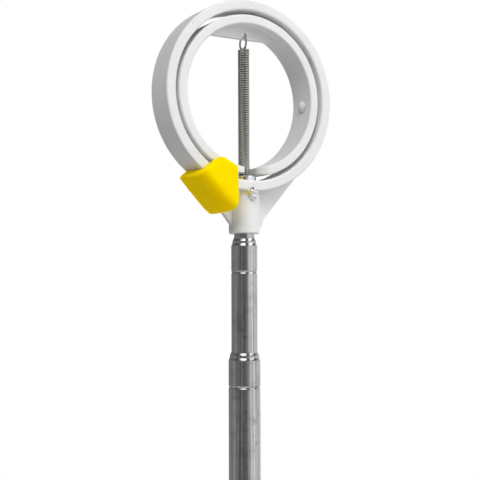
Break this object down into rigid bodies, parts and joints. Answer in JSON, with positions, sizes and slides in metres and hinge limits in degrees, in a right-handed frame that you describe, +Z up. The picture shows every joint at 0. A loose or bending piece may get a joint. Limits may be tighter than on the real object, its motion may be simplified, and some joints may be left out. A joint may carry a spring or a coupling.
{
  "type": "telescoping ball retriever",
  "caption": "Telescoping steel pole with a ring head whose hinged inner ring and spring flip over a ball and cage it.",
  "frame": {"origin": "centre of the end cap's underside, on the pole's axis", "axes": "+Z up the pole towards the ring head, -Y out of the ring's front face where the ball goes in, X along the inner ring's hinge"},
  "size_m": [0.0654, 0.026, 0.6083],
  "materials": {
    "white_plastic": "satin moulded white",
    "yellow_plastic": "satin moulded yellow",
    "tube_steel": "drawn lengthwise",
    "spring_steel": "bright drawn wire",
    "bright_steel": "polished",
    "clip_brass": "rolled strip",
    "grey_plastic": "moulded",
    "black_rubber": "matt, moulded texture"
  },
  "bodies": {
    "base_section": {"base_tube": "tube_steel", "base_plug": "grey_plastic", "grip": "black_rubber", "end_cap": "black_rubber", "cap_screw": "bright_steel"},
    "fourth_section": {"fourth_tube": "tube_steel", "fourth_bush": "grey_plastic", "fourth_clip": "clip_brass"},
    "third_section": {"third_tube": "tube_steel", "third_bush": "grey_plastic", "third_clip": "clip_brass"},
    "second_section": {"second_tube": "tube_steel", "second_bush": "grey_plastic", "second_clip": "clip_brass"},
    "head": {"tip_tube": "tube_steel", "tip_bush": "grey_plastic", "tip_clip": "clip_brass", "head_frame": "white_plastic", "stop_block": "yellow_plastic", "left_pivot_pin": "white_plastic", "right_pivot_pin": "white_plastic", "spring_rivet": "bright_steel", "trap_spring": "spring_steel"},
    "trap_ring": {"inner_ring": "white_plastic"}
  },
  "joints": [
    {"name": "fourth_slide", "type": "slide", "parent": "base_section", "child": "fourth_section", "axis": [0, 0, 1], "range_m": [-0.014, 0.327]},
    {"name": "third_slide", "type": "slide", "parent": "fourth_section", "child": "third_section", "axis": [0, 0, 1], "range_m": [-0.0421, 0.315]},
    {"name": "second_slide", "type": "slide", "parent": "third_section", "child": "second_section", "axis": [0, 0, 1], "range_m": [-0.023, 0.35]},
    {"name": "tip_slide", "type": "slide", "parent": "second_section", "child": "head", "axis": [0, 0, 1], "range_m": [0, 0.389]},
    {"name": "trap_hinge", "type": "hinge", "parent": "head", "child": "trap_ring", "pos_m": [0, 0, 0.5746], "axis": [1, 0, 0], "range_deg": [0, 90], "stiffness_Nm_per_rad": 0.06, "deforming": ["trap_spring"]}
  ]
}
